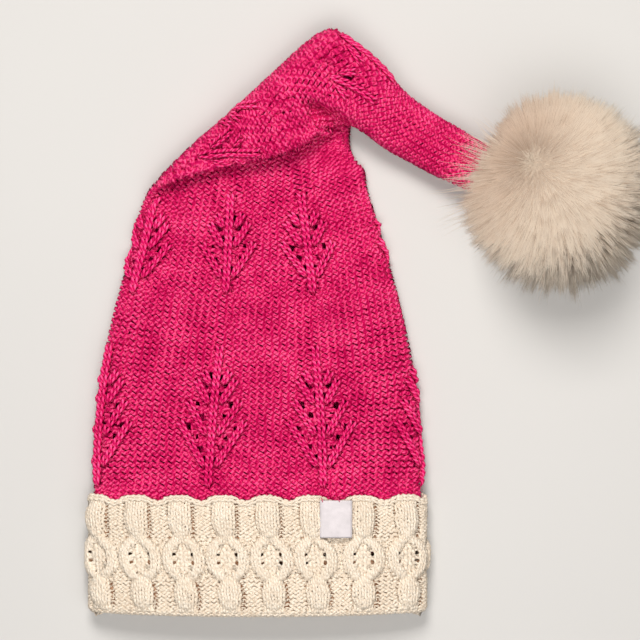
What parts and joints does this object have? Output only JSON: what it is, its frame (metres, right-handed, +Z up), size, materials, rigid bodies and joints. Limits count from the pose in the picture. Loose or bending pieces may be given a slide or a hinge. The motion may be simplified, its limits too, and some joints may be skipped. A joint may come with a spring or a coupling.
{
  "type": "knitted stocking hat",
  "caption": "Long knitted stocking hat lying flat, its tail folded over a diagonal crease, with knitted fir trees, a turned-up cream cuff, a blank label and a white fur pompom.",
  "frame": {"origin": "on the surface the hat lies on, under the middle of the cuff", "axes": "+X across the cuff towards the pompom's side, +Y from the cuff to the crease, +Z up from the surface"},
  "size_m": [0.4098, 0.4241, 0.1336],
  "materials": {
    "pink_knit": "matt wool yarn",
    "cream_knit": "matt wool yarn",
    "label_cloth": "smooth woven tape",
    "white_fur": "long soft fur"
  },
  "bodies": {
    "root": {"crown": "pink_knit", "cuff": "cream_knit", "label": "label_cloth", "pompom": "white_fur"}
  },
  "joints": []
}
